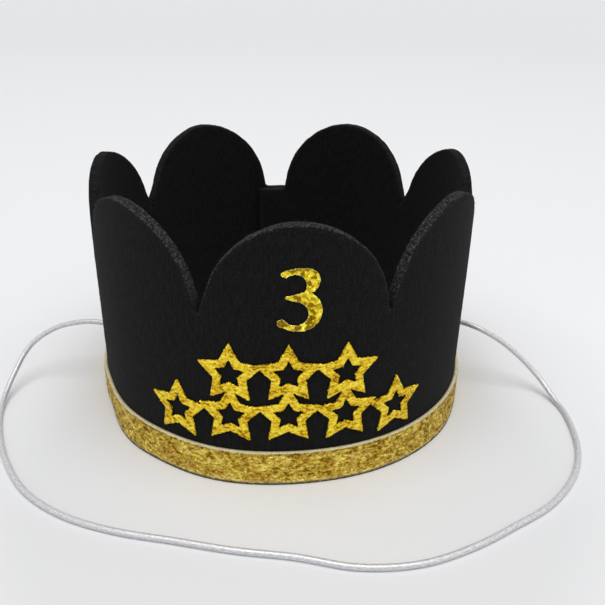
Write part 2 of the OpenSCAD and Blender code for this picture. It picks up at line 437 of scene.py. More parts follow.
def braided_tube(name, line, radius, sides, material, start=0.0):
    """Braided cord along a line of evenly spaced points, in millimetres."""
    count = len(line)
    ahead = np.gradient(line, axis=0)
    ahead /= np.linalg.norm(ahead, axis=1)[:, None]
    step = np.linalg.norm(line[1] - line[0])
    side = Vector(ahead[0]).orthogonal().normalized()
    points, heights, uv = [], [], []
    for i in range(count):
        t = Vector(ahead[i])
        side = (side - t * side.dot(t)).normalized()
        up = t.cross(side)
        for j in range(sides):
            h = braid(start + i * step, j / sides)
            r = radius * (1 + BRAID_DEPTH * (h - 0.6))
            a = 2 * math.pi * j / sides
            points.append(Vector(line[i]) + (side * math.cos(a) + up * math.sin(a)) * r)
            heights.append(h)
            uv.append(((start + i * step) / 10, j / sides))
    tube = mesh_object(name, points, tube_faces(count, sides), material, smooth=True)
    point_attribute(tube, "braid", heights)
    map_points(tube, "along", uv)
    return tube


# How a loose overhand knot is drawn tight, in radii of the cord and in rounds
KNOT_ROUNDS = 260
TOUCH = 2.02
NEIGHBOURS = 4.2
PUSH = 0.12
STRAIGHTEN = 0.5
TIGHTEN = 0.997
END_PULL = 0.8
KNOT_REACH = 3.2


def tight_knot():
    """Centre line of an overhand knot drawn tight, along z, with radius 1 as the cord's radius."""
    t = np.linspace(-2.25, 2.25, 91)
    line = np.stack([(t ** 3 - 3 * t) * 1.1, (t ** 4 - 4 * t ** 2 + 2) * 0.8, (t ** 5 - 10 * t) * 0.33], 1)
    gap = 0.35
    for _ in range(KNOT_ROUNDS):
        apart = line[:, None] - line[None]
        far = np.linalg.norm(apart, axis=2) + 1e-9
        index = np.arange(len(line))
        apart_along = np.abs(index[:, None] - index[None]) * gap
        push = np.clip(TOUCH - far, 0, None) * (apart_along > NEIGHBOURS)
        line += (apart / far[..., None] * push[..., None]).sum(1) * PUSH
        smooth = (np.roll(line, 1, 0) + np.roll(line, -1, 0)) / 2 - line
        smooth[[0, -1]] = 0
        line += smooth * STRAIGHTEN
        line[:, :2] *= TIGHTEN
        line[:2, :2] *= END_PULL
        line[-2:, :2] *= END_PULL
        ends = np.linalg.norm(np.diff(line, axis=0), axis=1)
        total = np.concatenate([[0], np.cumsum(ends)])
        gap = total[-1] / (len(line) - 1)
        even = np.linspace(0, total[-1], len(line))
        line = np.stack([np.interp(even, total, line[:, k]) for k in range(3)], 1)
    return line


def make_cord(material):
    route = [hole_point(HOLE_TURNS[0], KNOT_SEAT), hole_point(HOLE_TURNS[0], RING_R + 1)]
    route += [Vector(p) for p in FREE_ROUTE]
    route += [hole_point(HOLE_TURNS[1], RING_R + 1), hole_point(HOLE_TURNS[1], KNOT_SEAT)]
    line, length = even_path(smooth_path(route, 12, CORD_D / 2), CORD_STEP)
    tube = braided_tube("chin_elastic", line, CORD_D / 2, CORD_SIDES, material)
    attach(tube, "root")
    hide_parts("chin_cord")
    return tube, line, length


def make_knot(name, node, turn, material):
    """Overhand knot on the inside of the felt, with its cut tail."""
    centre = tight_knot()
    inner = centre[np.abs(centre[:, 2]) < KNOT_REACH]
    inner = inner if inner[0][2] < inner[-1][2] else inner[::-1]
    inner = inner * CORD_D / 2
    a = math.radians(turn)
    out = Vector((math.sin(a), -math.cos(a), 0))
    across = Vector((0, 0, 1)).cross(out)
    hub = hole_point(turn, KNOT_SEAT - KNOT_L / 2 + uneven(a * RING_R, HOLE_Z))
    ends = [Vector((0, 0, -KNOT_L / 2 - TAIL_L)), Vector((0.1, 0, -KNOT_L / 2 - TAIL_L * 0.4))]
    local = ends + [Vector(p) for p in inner] + [Vector((0, 0, KNOT_L / 2))]
    world = [hub + across * p.x + Vector((0, 0, 1)) * p.y + out * p.z for p in local]
    line, _ = even_path(smooth_path(world, 2), KNOT_STEP)
    knot = braided_tube(name, line, CORD_D / 2, KNOT_SIDES, material)
    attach(knot, "root")
    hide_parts(node)
    return knot


# Materials

FELT_DARK = (0.003, 0.003, 0.0031)
FELT_MIDDLE = (0.008, 0.008, 0.0082)
FELT_LIGHT = (0.019, 0.019, 0.0193)
EDGE_DARK = (0.008, 0.008, 0.0081)
EDGE_MIDDLE = (0.025, 0.025, 0.0252)
EDGE_LIGHT = (0.074, 0.074, 0.075)


class Nodes:
    """A node tree, made one node after another."""

    def add(self, kind, inputs=(), **settings):
        node = self.tree.nodes.new(kind)
        for key, value in settings.items():
            setattr(node, key, value)
        for key, value in dict(inputs).items():
            self.put(node, key, value)
        return node

    def put(self, node, key, value):
        socket = node.inputs[key]
        if isinstance(value, bpy.types.NodeSocket):
            self.tree.links.new(value, socket)
        elif socket.type == "RGBA" and len(value) == 3:
            socket.default_value = (*value, 1)
        else:
            socket.default_value = value

    def object_place(self):
        return self.add("ShaderNodeTexCoord").outputs["Object"]

    def map_place(self, name):
        return self.add("ShaderNodeUVMap", uv_map=name).outputs["UV"]

    def attribute(self, name):
        return self.add("ShaderNodeAttribute", attribute_name=name).outputs["Fac"]

    def scaled(self, place, scale):
        return self.add("ShaderNodeMapping", {"Vector": place, "Scale": scale}).outputs["Vector"]

    def noise(self, place, size, detail=3.0, roughness=0.5):
        node = self.add("ShaderNodeTexNoise", {
            "Vector": place, "Scale": size, "Detail": detail, "Roughness": roughness})
        return node.outputs["Fac"]

    def cells(self, place, size):
        """Colour that differs from cell to cell."""
        return self.add("ShaderNodeTexVoronoi", {"Vector": place, "Scale": size}).outputs["Color"]

    def first_of(self, colour):
        return self.add("ShaderNodeSeparateColor", {"Color": colour}).outputs[0]

    def maths(self, operation, a, b=0.0):
        return self.add("ShaderNodeMath", {0: a, 1: b}, operation=operation).outputs[0]

    def vector(self, operation, **inputs):
        named = {"a": 0, "b": 1, "scale": "Scale"}
        node = self.add("ShaderNodeVectorMath", {named[k]: v for k, v in inputs.items()},
                        operation=operation)
        return node.outputs[0]

    def step(self, value, low, high):
        """Smooth step from 0 at low to 1 at high."""
        node = self.add("ShaderNodeMapRange", {"Value": value, "From Min": low, "From Max": high},
                        interpolation_type="SMOOTHSTEP")
        return node.outputs["Result"]

    def ramp(self, value, stops):
        node = self.add("ShaderNodeValToRGB", {"Fac": value})
        marks = node.color_ramp.elements
        while len(marks) < len(stops):
            marks.new(0.5)
        for mark, (at, colour) in zip(marks, stops):
            mark.position = at
            mark.color = (*colour, 1)
        return node.outputs["Color"]

    def mix(self, share, a, b):
        return self.add("ShaderNodeMix", {0: share, 6: a, 7: b}, data_type="RGBA").outputs[2]

    def bump(self, height, strength, distance, normal=None):
        inputs = {"Height": height, "Strength": strength, "Distance": distance}
        if normal is not None:
            inputs["Normal"] = normal
        return self.add("ShaderNodeBump", inputs).outputs["Normal"]


class Shader(Nodes):
    """A material whose surface takes plain numbers on its own sockets."""

    def __init__(self, name):
        self.material = bpy.data.materials.new(name)
        self.material.use_nodes = True
        self.tree = self.material.node_tree
        self.surface = self.tree.nodes["Principled BSDF"]

    def principled(self, inputs):
        for key, value in inputs.items():
            self.put(self.surface, key, value)
        return self.material

    def effect(self, group, inputs):
        node = self.add("ShaderNodeGroup", node_tree=group)
        for key, value in inputs.items():
            self.put(node, key, value)
        return node.outputs


class Effect(Nodes):
    """A node group that several materials share."""

    def __init__(self, name, inputs, outputs):
        self.tree = bpy.data.node_groups.new(name, "ShaderNodeTree")
        for way, sockets in (("INPUT", inputs), ("OUTPUT", outputs)):
            for key, kind in sockets.items():
                self.tree.interface.new_socket(key, in_out=way, socket_type="NodeSocket" + kind)
        self.given = self.tree.nodes.new("NodeGroupInput").outputs
        self.result = self.tree.nodes.new("NodeGroupOutput").inputs

    def put_out(self, outputs):
        for key, value in outputs.items():
            self.tree.links.new(value, self.result[key])
        return self.tree


def glitter_effect():
    """Gold that changes from grain to grain, in short level streaks and in wide drifts."""
    fx = Effect("glitter", {"Place": "Vector", "Tone": "Float", "Streaks": "Float", "Drifts": "Float",
                            "Dark": "Color", "Middle": "Color", "Light": "Color"}, {"Colour": "Color"})
    given = fx.given
    place = given["Place"]
    streaks = fx.step(fx.noise(place, given["Streaks"], 3, 0.6), 0.38, 0.62)
    drifts = fx.step(fx.noise(place, given["Drifts"], 2), 0.3, 0.7)
    tone = 0.0
    for value, weight in ((given["Tone"], 0.24), (streaks, 0.46), (drifts, 0.3)):
        tone = fx.maths("ADD", fx.maths("MULTIPLY", value, weight), tone)
    low = fx.mix(fx.step(tone, 0.15, 0.45), given["Dark"], given["Middle"])
    return fx.put_out({"Colour": fx.mix(fx.step(tone, 0.5, 0.85), low, given["Light"])})


def tilt_effect():
    """Normal that leans another way in each cell, as on grains and crinkles."""
    fx = Effect("tilted_grains", {"Place": "Vector", "Cells": "Float", "Tilt": "Float"},
                {"Normal": "Vector", "Tone": "Float"})
    cells = fx.cells(fx.given["Place"], fx.given["Cells"])
    lean = fx.vector("SUBTRACT", a=cells, b=(0.5, 0.5, 0.5))
    scaled = fx.vector("SCALE", a=lean, scale=fx.given["Tilt"])
    normal = fx.vector("ADD", a=fx.add("ShaderNodeNewGeometry").outputs["Normal"], b=scaled)
    return fx.put_out({"Normal": fx.vector("NORMALIZE", a=normal), "Tone": fx.first_of(cells)})


def felt_material():
    sh = Shader("black_felt")
    cloth = sh.map_place("cloth")
    streaks = sh.noise(sh.scaled(cloth, (150, 34, 1)), 1.0, 4, 0.75)
    fibres = sh.noise(sh.scaled(cloth, (430, 240, 1)), 1.0, 3, 0.7)
    tone = sh.maths("ADD", sh.maths("MULTIPLY", streaks, 0.4), sh.maths("MULTIPLY", fibres, 0.6))
    face = sh.ramp(tone, [(0.4, FELT_DARK), (0.5, FELT_MIDDLE), (0.63, FELT_LIGHT)])
    face = sh.mix(sh.maths("MULTIPLY", sh.noise(cloth, 9), 0.3), face, FELT_MIDDLE)
    grain = sh.noise(sh.object_place(), 1700, 2, 0.6)
    edge = sh.ramp(grain, [(0.38, EDGE_DARK), (0.5, EDGE_MIDDLE), (0.64, EDGE_LIGHT)])
    lumps = sh.bump(sh.noise(sh.object_place(), 700), 0.35, 0.0004)
    return sh.principled({
        "Base Color": sh.mix(sh.attribute("cut"), face, edge), "Roughness": 0.95,
        "Specular IOR Level": 0.04, "Sheen Weight": 0.03, "Sheen Roughness": 0.6,
        "Normal": sh.bump(tone, 0.5, 0.0004, lumps)})


def fibre_material():
    sh = Shader("loose_fibre")
    colour = sh.ramp(sh.attribute("tone"), [(0.0, EDGE_DARK), (0.6, EDGE_MIDDLE), (1.0, EDGE_LIGHT)])
    return sh.principled({"Base Color": colour, "Roughness": 0.8, "Specular IOR Level": 0.1})


def elastic_material():
    sh = Shader("silver_elastic")
    thread = sh.noise(sh.scaled(sh.map_place("along"), (9, 14, 1)), 1.0, 3, 0.6)
    # Painted shade: the braid's hollows between strands are darker than the strands' tops
    shade = sh.ramp(sh.attribute("braid"), [(0.0, (0.5, 0.5, 0.515)), (0.5, (0.67, 0.67, 0.685)),
                                            (1.0, (0.77, 0.77, 0.785))])
    dull = sh.ramp(thread, [(0.35, (0.48, 0.48, 0.495)), (0.65, (0.8, 0.8, 0.82))])
    return sh.principled({"Base Color": sh.mix(0.75, shade, dull), "Metallic": 0.35, "Roughness": 0.36,
                          "Specular IOR Level": 0.3})


# Golds, each as its dark, middle and light grains
RIBBON_GOLD = ((0.2, 0.095, 0.004), (0.52, 0.35, 0.03), (0.88, 0.75, 0.17))
CARD_GOLD = ((0.34, 0.17, 0.005), (0.86, 0.6, 0.022), (1.0, 0.84, 0.09))
FOIL_GOLD = ((0.24, 0.145, 0.004), (0.8, 0.57, 0.008), (1.0, 0.93, 0.1))
RIM_GOLD = (1.0, 0.92, 0.3)
WARM_GOLD = (0.7, 0.4, 0.12)
CREAM = ((0.86, 0.73, 0.42), (0.99, 0.9, 0.62))
BACKING = ((0.72, 0.6, 0.3), (0.9, 0.8, 0.5))
# Painted shade colour for the ribbon's lower edge, the line under its top edge and its top face's inner half
PAINTED_EDGE_SHADE = (0.07, 0.055, 0.018)

# How fine the grains are: cells and noise waves to a metre, as streaks and drifts
GRAIN_STRETCH = (1, 1, 1.6)
GRAIN_CELLS = 1900
DENT_CELLS = 1700
GRAIN_TILT = 0.5
RIBBON_GRAIN = (800, 260)
CARD_GRAIN = (900, 260)
FOIL_GRAIN = (900, 330)
GOLD_METAL = 0.9


def glittered(sh, glitter, gold, place, tone, grain):
    """Colour of a gold, given as its dark, middle and light, at a place and with a tone."""
    colour = sh.effect(glitter, {
        "Place": place, "Tone": tone, "Streaks": grain[0], "Drifts": grain[1],
        "Dark": gold[0], "Middle": gold[1], "Light": gold[2]})
    return colour["Colour"]


def card_material(glitter, tilt):
    """Glitter card with its grains drawn on it, under the flakes that stand out."""
    sh = Shader("gold_glitter_card")
    place = sh.scaled(sh.object_place(), GRAIN_STRETCH)
    grains = sh.effect(tilt, {"Place": place, "Cells": GRAIN_CELLS, "Tilt": GRAIN_TILT})
    colour = glittered(sh, glitter, CARD_GOLD, place, grains["Tone"], CARD_GRAIN)
    return sh.principled({"Base Color": colour, "Metallic": GOLD_METAL, "Roughness": 0.4,
                          "Normal": grains["Normal"]})


def ribbon_material(glitter, tilt):
    """Glitter ribbon with its plain selvages, and painted shade along its lower edge, under its top edge and
    on the inner half of its top face.
    """
    sh = Shader("gold_glitter_ribbon")
    place = sh.scaled(sh.object_place(), GRAIN_STRETCH)
    grains = sh.effect(tilt, {"Place": place, "Cells": GRAIN_CELLS, "Tilt": GRAIN_TILT})
    gold = glittered(sh, glitter, RIBBON_GOLD, place, grains["Tone"], RIBBON_GRAIN)
    weave = sh.ramp(sh.noise(place, 1500), [(0.3, CREAM[0]), (0.7, CREAM[1])])
    warm = sh.maths("MULTIPLY", sh.step(sh.noise(place, 520), 0.5, 0.62), 0.5)
    colour = sh.mix(sh.attribute("selvage"), sh.mix(warm, gold, WARM_GOLD), weave)
    # Painted shade: darkens the ribbon along its lower edge, under its cream top edge and on the inner half
    # of its top face
    colour = sh.mix(sh.attribute("painted_shade"), colour, PAINTED_EDGE_SHADE)
    metal = sh.maths("MULTIPLY", sh.maths("SUBTRACT", 1.0, sh.attribute("selvage")), GOLD_METAL)
    return sh.principled({"Base Color": colour, "Metallic": metal, "Roughness": 0.4,
                          "Normal": grains["Normal"]})


def flake_material(name, gold, glitter, grain, roughness):
    """Single flakes, each with its own tone."""
    sh = Shader(name)
    place = sh.scaled(sh.object_place(), GRAIN_STRETCH)
    colour = glittered(sh, glitter, gold, place, sh.attribute("tone"), grain)
    return sh.principled({"Base Color": colour, "Metallic": GOLD_METAL, "Roughness": roughness})


def foil_material(glitter, tilt):
    """Crinkled foil with small dents, pale along its cut rim."""
    sh = Shader("gold_foil")
    place = sh.object_place()
    dents = sh.effect(tilt, {"Place": place, "Cells": DENT_CELLS, "Tilt": GRAIN_TILT})
    tone = sh.maths("ADD", sh.maths("MULTIPLY", sh.attribute("tone"), 1.6),
                    sh.maths("MULTIPLY", dents["Tone"], 0.5))
    colour = glittered(sh, glitter, FOIL_GOLD, place, tone, FOIL_GRAIN)
    rim = sh.maths("MULTIPLY", sh.attribute("rim"), 0.3)
    return sh.principled({"Base Color": sh.mix(rim, colour, RIM_GOLD), "Metallic": GOLD_METAL,
                          "Roughness": 0.22, "Normal": dents["Normal"]})


def backing_material():
    sh = Shader("cream_backing")
    grain = sh.noise(sh.object_place(), 2500)
    colour = sh.ramp(grain, [(0.3, BACKING[0]), (0.7, BACKING[1])])
    return sh.principled({"Base Color": colour, "Roughness": 0.8})


# Glitter ribbon

RIBBON_W = 9.0
RIBBON_T = 1.0
RIBBON_LIFT = 0.2
RIBBON_END_GAP = 0.8
GLITTER_STEP = (0.42, 0.3)

# How far the ribbon's grains lie off their even places: along it, and up and out on face and rim
SHIFT_ALONG = 0.13
SHIFT_FACE = 0.09
SHIFT_RIM = 0.03

# Its plain cream top edge, the painted shade under that, its paler foot and the painted shade along its lower
# edge
CREAM_W = 0.2
CREAM_FADE = 0.1
TOP_SHADE_W = 0.9
PALE_FOOT_H = 1.25
FOOT_SHADE_H = 0.75
EDGE_FADE = 0.3
FAINT = 0.35

# Painted shade on the four points behind the face, from its top edge round to its lower edge; it darkens the
# top face's inner half
BACK_PAINTED_SHADE = [0.1, 0.9, 0, 0]


def selvage(z):
    """Share of plain cream ribbon that shows at height z, and how much painted shade lies there, along the
    lower edge and under the top edge.
    """
    top = ease((z - RIBBON_W + CREAM_W) / CREAM_FADE)
    foot = ease((PALE_FOOT_H - z) / EDGE_FADE) * FAINT
    # Painted shade in a line under the cream top edge
    top_shade = ease((z - RIBBON_W + TOP_SHADE_W) / EDGE_FADE) * FAINT * (1 - top)
    return max(top, foot), max(ease((FOOT_SHADE_H - z) / EDGE_FADE), top_shade)


def make_ribbon(glitter, backing):
    start, stop = -TAB_END_S, OUTER_END_S - RIBBON_END_GAP
    columns = int((stop - start) / GLITTER_STEP[0])
    rows = int(RIBBON_W / GLITTER_STEP[1])
    points, faces, kinds, plain, painted_shade = [], [], [], [], []
    top = RIBBON_LIFT + RIBBON_W
    back = [(GLUE_T + RIBBON_T * 0.5, top), (GLUE_T, top), (GLUE_T, RIBBON_LIFT + RIBBON_W / 2),
            (GLUE_T, RIBBON_LIFT)]
    ring = rows + 1 + len(back)
    for i in range(columns + 1):
        s0 = start + (stop - start) * i / columns
        for j in range(rows + 1):
            shift = SHIFT_RIM if j in (0, rows) else SHIFT_FACE
            ds, dz, dr = draw.uniform(-1, 1, 3)
            s = s0 + ds * SHIFT_ALONG * (0 < i < columns)
            z = RIBBON_LIFT + RIBBON_W * j / rows + dz * shift
            points.append(on_wall(s, z, GLUE_T + RIBBON_T + dr * shift))
            shares = selvage(RIBBON_W * j / rows)
            plain.append(shares[0])
            painted_shade.append(shares[1])
        points += [on_wall(s0, z, out) for out, z in back]
        plain += [1] * len(back)
        # Painted shade on the inner half of the top face
        painted_shade += BACK_PAINTED_SHADE
    for i in range(columns):
        for j in range(ring):
            a, b = i * ring + j, i * ring + (j + 1) % ring
            quad = (a, a + ring, b + ring, b)
            if j >= rows + 2:
                faces.append(quad)
                kinds.append(1)
                continue
            if draw.random() < 0.5:
                faces += [quad[:3], (quad[0], quad[2], quad[3])]
            else:
                faces += [quad[1:], (quad[0], quad[1], quad[3])]
            kinds += [0, 0]
    faces.append(tuple(range(ring)))
    faces.append(tuple(columns * ring + j for j in range(ring))[::-1])
    kinds += [1, 1]
    ribbon = mesh_object("glitter_ribbon_band", points, faces, glitter)
    ribbon.data.materials.append(backing)
    ribbon.data.polygons.foreach_set("material_index", kinds)
    face_out(ribbon)
    point_attribute(ribbon, "selvage", plain)
    point_attribute(ribbon, "painted_shade", painted_shade)
    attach(ribbon, "root")
    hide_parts("glitter_ribbon")
    return ribbon


def face_out(obj):
    shape = bmesh.new()
    shape.from_mesh(obj.data)
    bmesh.ops.recalc_face_normals(shape, faces=shape.faces)
    shape.to_mesh(obj.data)
    shape.free()


# Numeral and star garland: thin sheets cut to the frame's outlines

FOIL_T = 0.3
SHEET_VOXEL = 0.2
FACET = 1.5
FACET_LEAN = 0.28
FACET_DARK = 0.28
RIM_W = 0.35

# Torn card: random shift of each point in s, z and out, and its ragged cut's depth and size
CARD_SHIFT = (0.08, 0.08, 0.05)
CARD_RAG = 0.14
CARD_RAG_SIZE = 0.7
FOIL_RAG = 0.06
FOIL_RAG_SIZE = 0.5


def unrolled(node):
    """A CAD node's points as (s, depth outside the wall, z), in millimetres."""
    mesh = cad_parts[node].data
    points = np.zeros(len(mesh.vertices) * 3, np.float32)
    mesh.vertices.foreach_get("co", points)
    points = points.reshape(-1, 3) / MM
    turn = np.arctan2(points[:, 0], -points[:, 1])
    out = np.hypot(points[:, 0], points[:, 1]) - RING_R
    mesh.calc_loop_triangles()
    triangles = np.zeros(len(mesh.loop_triangles) * 3, np.int32)
    mesh.loop_triangles.foreach_get("vertices", triangles)
    return np.stack([turn * RING_R, out, points[:, 2]], 1), triangles.reshape(-1, 3)


def rim_shares(points, normals):
    """How near each point of a flat sheet lies to its cut outline, from 0 to 1."""
    cut = points[np.abs(normals[:, 1]) < 0.8]
    tree = KDTree(len(cut))
    for i, (s, _, z) in enumerate(cut):
        tree.insert((s, 0, z), i)
    tree.balance()
    return [max(0.0, 1 - tree.find((s, 0, z))[2] / RIM_W) for s, _, z in points]


def cut_sheet(name, node, material, shift):
    """Fine, even mesh in a CAD node's place, with each point moved by shift before it is rolled."""
    flat, triangles = unrolled(node)
    piece = mesh_object(name, flat, triangles.tolist(), material)
    shape = bmesh.new()
    shape.from_mesh(piece.data)
    bmesh.ops.remove_doubles(shape, verts=shape.verts, dist=1e-6)
    bmesh.ops.recalc_face_normals(shape, faces=shape.faces)
    shape.to_mesh(piece.data)
    shape.free()
    remesh = piece.modifiers.new("even", "REMESH")
    remesh.mode = "VOXEL"
    remesh.voxel_size = SHEET_VOXEL * MM
    piece = applied(piece)
    mesh = piece.data
    points = np.zeros(len(mesh.vertices) * 3, np.float32)
    mesh.vertices.foreach_get("co", points)
    points = points.reshape(-1, 3) / MM
    normals = np.array([tuple(v.normal) for v in mesh.vertices])
    point_attribute(piece, "rim", rim_shares(points, normals))
    rolled = [on_wall(*shift(s, max(out, GLUE_T * 0.5), z)) for s, out, z in points]
    mesh.vertices.foreach_set("co", (np.array(rolled) * MM).astype(np.float32).ravel())
    mesh.polygons.foreach_set("use_smooth", [False] * len(mesh.polygons))
    mesh.update()
    face_out(piece)
    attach(piece, "root")
    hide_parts(node)
    return piece


def torn_grain(s, out, z):
    """Ragged cut and rough face of glitter card."""
    place = Vector((s, 0, z)) / CARD_RAG_SIZE
    ds, dz, dout = draw.uniform(-1, 1, 3) * CARD_SHIFT
    ds += CARD_RAG * noise.noise(place)
    dz += CARD_RAG * noise.noise(place + Vector((9, 9, 9)))
    return s + ds, z + dz, out + dout


def crinkle(s, out, z):
    """Facets pressed into the foil: each cell of the face leans its own way."""
    place = Vector((s, 0, z)) / FACET
    centre = noise.voronoi(place)[1][0]
    lean = noise.cell_vector(centre * 50)
    depth = 0
    if out > FOIL_T * 0.7:
        depth = FACET_LEAN * (place - centre).dot(Vector((lean.x, 0, lean.z)))
    ragged = FOIL_RAG * noise.noise(Vector((s, 0, z)) / FOIL_RAG_SIZE)
    return s + ragged, z + ragged, out + depth


def tone_facets(piece):
    """Gives each face the tone of the facet that it lies in."""
    mesh = piece.data
    tones = []
    for face in mesh.polygons:
        centre = face.center / MM
        place = Vector((math.atan2(centre.x, -centre.y) * RING_R, 0, centre.z)) / FACET
        tones.append(noise.cell(noise.voronoi(place)[1][0] * 70) - FACET_DARK)
    layer = mesh.attributes.new("tone", "FLOAT", "FACE")
    layer.data.foreach_set("value", np.array(tones, np.float32))


def applied(obj):
    """The object with its modifiers made part of its mesh."""
    bpy.context.view_layer.update()
    graph = bpy.context.evaluated_depsgraph_get()
    mesh = bpy.data.meshes.new_from_object(obj.evaluated_get(graph), depsgraph=graph)
    obj.modifiers.clear()
    obj.data = mesh
    return obj


# Geometry node trees

class Tree(Nodes):
    """A geometry node tree with its sizes as named inputs."""

    def __init__(self, name, **sizes):
        self.tree = bpy.data.node_groups.new(name, "GeometryNodeTree")
        self.tree.interface.new_socket("Geometry", in_out="INPUT", socket_type="NodeSocketGeometry")
        for key, value in sizes.items():
            kind = "NodeSocketInt" if isinstance(value, int) else "NodeSocketFloat"
            socket = self.tree.interface.new_socket(key, in_out="INPUT", socket_type=kind)
            socket.default_value = value
        self.tree.interface.new_socket("Geometry", in_out="OUTPUT", socket_type="NodeSocketGeometry")
        self.given = self.tree.nodes.new("NodeGroupInput").outputs
        self.result = self.tree.nodes.new("NodeGroupOutput").inputs["Geometry"]

    def attribute(self, name):
        return self.add("GeometryNodeInputNamedAttribute", {"Name": name}, data_type="FLOAT").outputs[0]

    def random(self, low, high, seed):
        node = self.add("FunctionNodeRandomValue", data_type="FLOAT")
        node.inputs[2].default_value = low
        node.inputs[3].default_value = high
        node.inputs["Seed"].default_value = seed
        return node.outputs[1]

    def random_turn(self, lean):
        """Turns about x, y and z: a lean of up to so many radians, and any spin."""
        node = self.add("FunctionNodeRandomValue", data_type="FLOAT_VECTOR")
        node.inputs[0].default_value = (-lean, -lean, -math.pi)
        node.inputs[1].default_value = (lean, lean, math.pi)
        node.inputs["Seed"].default_value = 3
        return node.outputs[0]

    def plant(self, spread, thing, turn, size, material):
        """Puts the thing on each spread point, set at a turn from the face, with a tone of its own."""
        local = self.add("FunctionNodeEulerToRotation", {0: turn}).outputs[0]
        rotation = self.add("FunctionNodeRotateRotation", {
            "Rotation": spread.outputs["Rotation"], "Rotate By": local}, rotation_space="LOCAL").outputs[0]
        placed = self.add("GeometryNodeInstanceOnPoints", {
            "Points": spread.outputs["Points"], "Instance": thing, "Rotation": rotation, "Scale": size})
        toned = self.add("GeometryNodeStoreNamedAttribute", {
            "Geometry": placed.outputs[0], "Name": "tone", "Value": self.random(0.0, 1.0, 8)},
            data_type="FLOAT", domain="INSTANCE")
        return self.finish(toned.outputs[0], material)

    def finish(self, geometry, material):
        real = self.add("GeometryNodeRealizeInstances", {"Geometry": geometry}).outputs[0]
        shown = self.add("GeometryNodeSetMaterial", {"Geometry": real, "Material": material}).outputs[0]
        self.tree.links.new(shown, self.result)
        return self.tree


def grown(name, carrier, tree, node_slot, **sizes):
    """A piece that a node tree grows on another piece, as a plain mesh."""
    piece = link(bpy.data.objects.new(name, carrier.data.copy()))
    nodes = piece.modifiers.new("grown", "NODES")
    nodes.node_group = tree
    for item in tree.interface.items_tree:
        if item.in_out == "INPUT" and item.name in sizes:
            nodes[item.identifier] = sizes[item.name]
    piece = applied(piece)
    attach(piece, "root")
    return piece


def flake_tree(material):
    """Glitter flakes: shallow closed pyramids, tilted at random, on faces of the first material."""
    tree = Tree("glitter_flakes", Density=8.0, Size=0.4, Tilt=0.5, Seed=1)
    given = tree.given
    index = tree.add("GeometryNodeInputMaterialIndex").outputs[0]
    first = tree.add("FunctionNodeCompare", {2: index, 3: 0}, data_type="INT", operation="EQUAL").outputs[0]
    # No flakes on the cream selvage or under painted shade
    bare = tree.maths("MAXIMUM", tree.attribute("selvage"), tree.attribute("painted_shade"))
    density = tree.maths("MULTIPLY", given["Density"], tree.maths("SUBTRACT", 1.0, bare))
    spread = tree.add("GeometryNodeDistributePointsOnFaces", {
        "Mesh": given["Geometry"], "Selection": first, "Density": density, "Seed": given["Seed"]})
    flake = tree.add("GeometryNodeMeshCone", {
        "Vertices": 4, "Side Segments": 1, "Fill Segments": 1, "Radius Top": 0.0,
        "Radius Bottom": 0.5, "Depth": 0.12}, fill_type="NGON").outputs["Mesh"]
    scale = tree.add("ShaderNodeCombineXYZ", {0: given["Tilt"], 1: given["Tilt"], 2: 1.0}).outputs[0]
    turn = tree.vector("MULTIPLY", a=tree.random_turn(1), b=scale)
    size = tree.maths("MULTIPLY", given["Size"], tree.random(0.6, 1.3, 5))
    return tree.plant(spread, flake, turn, size, material)


# Fibres keep off the foot below this height, and a few stand on the felt's face
FUZZ_FROM = 1.2
FACE_FUZZ = 0.02
FIBRE_LEAN = 1.25


def fuzz_tree(material):
    """Loose fibres: thin bent needles that stand on the felt, most of them on its cut edge."""
    tree = Tree("felt_fuzz", Density=6.0, Length=0.8, Width=0.05, Bend=0.5, Seed=1)
    given = tree.given
    share = tree.maths("ADD", tree.attribute("cut"), FACE_FUZZ)
    place = tree.add("GeometryNodeInputPosition").outputs[0]
    x, y, z = tree.add("ShaderNodeSeparateXYZ", {0: place}).outputs
    off_foot = tree.maths("GREATER_THAN", z, FUZZ_FROM * MM)
    density = tree.maths("MULTIPLY", tree.maths("MULTIPLY", share, off_foot), given["Density"])
    spread = tree.add("GeometryNodeDistributePointsOnFaces", {
        "Mesh": given["Geometry"], "Density": density, "Seed": given["Seed"]})
    needle = tree.add("GeometryNodeMeshCone", {
        "Vertices": 3, "Side Segments": 2, "Fill Segments": 1, "Radius Top": 0.0,
        "Radius Bottom": 0.5, "Depth": 1.0}, fill_type="NGON").outputs["Mesh"]
    bend = tree.maths("MULTIPLY", tree.maths("MULTIPLY", z, z), given["Bend"])
    wide = tree.maths("DIVIDE", given["Width"], given["Length"])
    moved = tree.add("ShaderNodeCombineXYZ", {
        0: tree.maths("ADD", tree.maths("MULTIPLY", x, wide), bend),
        1: tree.maths("MULTIPLY", y, wide), 2: z}).outputs[0]
    needle = tree.add("GeometryNodeSetPosition", {"Geometry": needle, "Position": moved}).outputs[0]
    size = tree.maths("MULTIPLY", given["Length"], tree.random(0.4, 1.5, 5))
    return tree.plant(spread, needle, tree.random_turn(FIBRE_LEAN), size, material)


# Stage and light

WALL_COLOUR = (0.8, 0.802, 0.812)
FLOOR_HALF = 4000
FLOOR_CENTRE = (0.0, -0.05, 0.0)

# Floor's colours, painted light and shade: brightest in a band round the hat, lifting its shadow, darker
# nearer and far off; square root of the distance from its centre in metres, and the colour there
FLOOR_PAINTED_LIGHT = [
    (0.26, (0.82, 0.822, 0.828)), (0.31, (0.91, 0.912, 0.92)), (0.37, (0.95, 0.952, 0.96)),
    (0.46, (0.91, 0.912, 0.92)), (0.8, (0.84, 0.843, 0.852)), (1.0, (0.805, 0.807, 0.817))]

# Lamps: name, azimuth, height and width in degrees, and what each adds to the floor's brightness
LAMPS = [("overhead", -5, 82, 44, 0.46), ("front_left", -50, 42, 60, 0.06), ("front_right", 55, 42, 60, 0.08)]
WORLD_LIGHT = 0.38
WORLD_TINT = (0.97, 0.98, 1.0)


